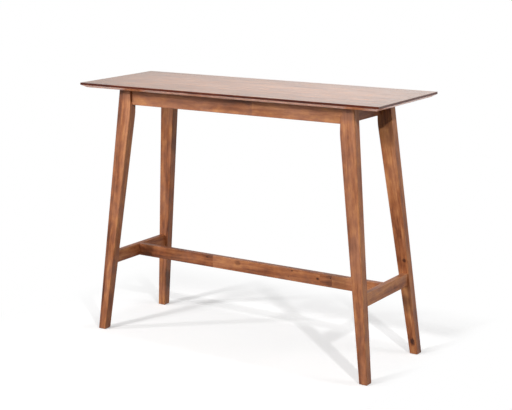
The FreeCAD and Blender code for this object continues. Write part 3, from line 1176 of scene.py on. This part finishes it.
@dataclass
class Camera:
    """The photograph's view: a long lens, a little above the top, from the front right."""

    azimuth: float = 33.905
    pitch: float = 12.649
    roll: float = -0.5729
    distance: float = 5.23755
    aside: float = 0.01016
    height: float = 0.57731
    lens: float = 90.4739
    sensor: float = 36.0
    clip: float = 100.0

    def make(self) -> None:
        """Puts the camera up."""
        azimuth, pitch, roll = (math.radians(angle) for angle in (self.azimuth, self.pitch, self.roll))
        level = Vector((math.cos(azimuth), math.sin(azimuth), 0))
        back = Vector((math.sin(azimuth) * math.cos(pitch), -math.cos(azimuth) * math.cos(pitch), math.sin(pitch)))
        rise = level.cross(-back)
        right = level * math.cos(roll) + rise * math.sin(roll)
        up = rise * math.cos(roll) - level * math.sin(roll)
        target = level * self.aside + UP * self.height
        data = bpy.data.cameras.new("camera")
        data.lens = self.lens
        data.sensor_width = self.sensor
        data.clip_end = self.clip
        camera = put_up("camera", data)
        turn = Matrix((right, up, back)).transposed().to_4x4()
        camera.matrix_world = Matrix.Translation(target + back * self.distance) @ turn
        bpy.context.scene.camera = camera


@dataclass(frozen=True)
class Lamp:
    """A studio lamp: its place, what it is aimed at, its power in watts and its size.

    A lamp with a depth is a rectangle. A grid in front of a lamp keeps its light within an angle.
    """

    name: str
    place: Place
    power: float
    width: float
    depth: float = 0.0
    grid: float = 180.0
    aim: Place = (0.0, 0.0, 0.8)

    def make(self) -> None:
        """Puts the lamp up."""
        data = bpy.data.lights.new(self.name, "AREA")
        data.shape = "RECTANGLE" if self.depth else "DISK"
        data.size = self.width
        data.size_y = self.depth or self.width
        data.spread = math.radians(self.grid)
        data.energy = self.power
        lamp = put_up(self.name, data)
        lamp.location = self.place
        lamp.rotation_euler = (Vector(self.place) - Vector(self.aim)).to_track_quat("Z", "Y").to_euler()
        lamp.visible_camera = False


@dataclass
class Studio:
    """A pale floor in a white room: lamps and a strip in front, a soft box at the right end and one overhead.

    To the camera the floor fades to plain white far out, behind the table and to its sides.
    """

    sky: float = 0.06
    dim_room: float = 0.42
    bright_room: float = 1.10
    room_dims: Span = (-0.85, -0.35)
    dim_floor: float = 0.40
    floor_dims: Span = (-2.6, -1.0)
    floor_albedo: float = 0.17
    near_glow: float = 0.39
    floor_seen: float = 0.77
    floor_reach: float = 40.0
    fade_far: Span = (0.95, 1.7)
    fade_behind: Span = (0.42, 0.85)
    fade_right: Span = (0.60, 0.76)
    fade_left: Span = (0.64, 1.15)
    lamps: tuple[Lamp, ...] = (
        Lamp("key_lamp", (-2.80, -5.45, 2.00), 55, 0.30),
        Lamp("strip_box", (-2.00, -5.60, 3.35), 235, 0.50, 1.60),
        Lamp("left_lamp", (-4.60, -3.75, 2.55), 125, 0.25),
        Lamp("right_lamp", (5.60, -4.60, 4.60), 278, 0.30),
        Lamp("soft_box", (3.20, 0.90, 1.60), 24, 1.20, 1.20),
        Lamp("overhead_box", (0.0, 0.0, 3.00), 1.8, 1.36, 0.44, 24.0, (0.0, 0.0, 0.0)),
    )

    @staticmethod
    def rays(graph: Graph) -> tuple[Wire, Wire]:
        """Whether a ray comes straight from the camera, and whether it is mirrored or bent, each 1 or 0."""
        seen, mirror, bent = (graph.out("ShaderNodeLightPath", output=f"Is {kind} Ray")
                              for kind in ("Camera", "Glossy", "Transmission"))
        return seen, graph.math("MAXIMUM", mirror, bent)

    def room(self) -> None:
        """White to the camera, a little darker to the left in reflections, and a low plain level for the rest."""
        world = bpy.data.worlds.new("room")
        bpy.context.scene.world = world
        graph = fresh_graph(world)
        seen, glossy = self.rays(graph)
        side = graph.out("ShaderNodeTexCoord", output="Generated").parts()[0]
        mirrored = side.between(self.room_dims) * (self.bright_room - self.dim_room) + self.dim_room
        strength = glossy * (mirrored - self.sky) + (seen * (1 - self.sky) + self.sky)
        graph.add("ShaderNodeOutputWorld", {0: graph.out("ShaderNodeBackground", {0: WHITE, 1: strength})})

    def floor(self) -> None:
        """A wide floor that looks white and keeps the table's faint shadow."""
        mesh = bpy.data.meshes.new("floor")
        reach = self.floor_reach
        mesh.from_pydata([(-reach, -reach, 0), (reach, -reach, 0), (reach, reach, 0), (-reach, reach, 0)], [],
                         [(0, 1, 2, 3)])
        floor = put_up("floor", mesh)
        material = bpy.data.materials.new("pale_floor")
        graph = fresh_graph(material)
        seen, glossy = self.rays(graph)
        place = graph.out("ShaderNodeNewGeometry", output="Position")
        right, front, _ = place.parts()
        far = graph.vector("LENGTH", place, output="Value").between(self.fade_far)
        for way, span in ((front, self.fade_behind), (right, self.fade_right), (right * -1.0, self.fade_left)):
            far = graph.math("MAXIMUM", far, way.between(span))
        lit = far * -self.floor_seen + (self.floor_seen - self.floor_albedo)
        matt = (seen * lit + self.floor_albedo) * (1.0 - glossy)
        pale = graph.out("ShaderNodeBsdfDiffuse", {0: graph.out("ShaderNodeCombineColor", {0: matt, 1: matt, 2: matt})})
        mirrored = front.between(self.floor_dims) * (1 - self.dim_floor) + self.dim_floor
        lift = far * (1 - self.near_glow) + self.near_glow
        glow = graph.out("ShaderNodeEmission", {0: WHITE, 1: glossy * mirrored + seen * lift})
        graph.add("ShaderNodeOutputMaterial", {0: graph.out("ShaderNodeAddShader", {0: pale, 1: glow})})
        mesh.materials.append(material)

    def make(self) -> None:
        """Sets up room, floor, lamps and the plain view transform."""
        self.room()
        self.floor()
        for lamp in self.lamps:
            lamp.make()
        bpy.context.scene.view_settings.view_transform = "Standard"


LEGS = (
    Leg(Side.FRONT, End.LEFT, 1.3, mauve=0.35, strips=(Stave(-1, -0.16, 0.15), Stave(-0.006, 0.08))),
    Leg(Side.FRONT, End.RIGHT, 5.9, climb=0.13,
        strips=(Stave(-1, 0.0, 0.35), Stave(0.016, 0.03), Stave(0.030, 0.0, -0.2))),
    Leg(Side.BACK, End.LEFT, 8.2, tone=-0.02, mauve=0.3, strips=(Stave(-1, 0.0), Stave(0.008, -0.08, 0.1))),
    Leg(Side.BACK, End.RIGHT, 14.7, tone=0.01, climb=0.05, strips=(Stave(-1, 0.02, -0.1), Stave(0.010, -0.04)),
        knots=(Knot((0.636, 0.186, 0.055), 0.009, 0.9, 1.6), Knot((0.604, 0.163, 0.392), 0.006, 0.7))),
)
RAILS = (
    Rail("apron_front", 11.3, tone=0.09, mauve=0.5, clouds=0.5, lengths=(Stave(-1, 0.0, 0.2), Stave(0.0989, 0.14, 0.1)),
         knots=(Knot((0.058, -0.1504, 1.036), 0.016, 0.55, 3.0),)),
    Rail("apron_back", 15.4),
    Rail("apron_left", 19.5, ACROSS),
    # Darker, greyer tone: painted shade under the top's overhang at the right end
    Rail("apron_right", 23.6, ACROSS, tone=-0.12, mauve=1.0),
    Rail("stretcher_long", 27.7,
         lengths=(Stave(-1, -0.16), Stave(-0.2, 0.01), Stave(0.3219, -0.06, 0.45), Stave(0.3784, 0.06)),
         knots=(Knot((0.312, -0.0125, 0.3156), 0.0045, 0.8, 1.2), Knot((0.371, -0.0125, 0.3261), 0.003, 0.9, 0.6),
                Knot((0.1915, -0.0125, 0.3312), 0.003, 0.7), Knot((0.1737, -0.0125, 0.3048), 0.003, 0.7, 0.6),
                Knot((-0.230, -0.0125, 0.329), 0.003, 0.6, 2.2), Knot((-0.074, -0.0125, 0.3255), 0.009, 0.35, 1.5))),
    Rail("stretcher_left", 31.8, ACROSS, tone=-0.08, mauve=-0.6),
    Rail("stretcher_right", 35.9, ACROSS, tone=0.13),
)


def main() -> None:
    """Builds the studio and dresses every piece of the table."""
    logging.basicConfig(level=logging.INFO, format="%(message)s")
    Camera().make()
    Studio().make()
    TableTop().make()
    for piece in LEGS + RAILS:
        piece.make()
    InnerWood().make()
    Ironmongery().make()


if __name__ == "__main__":
    main()
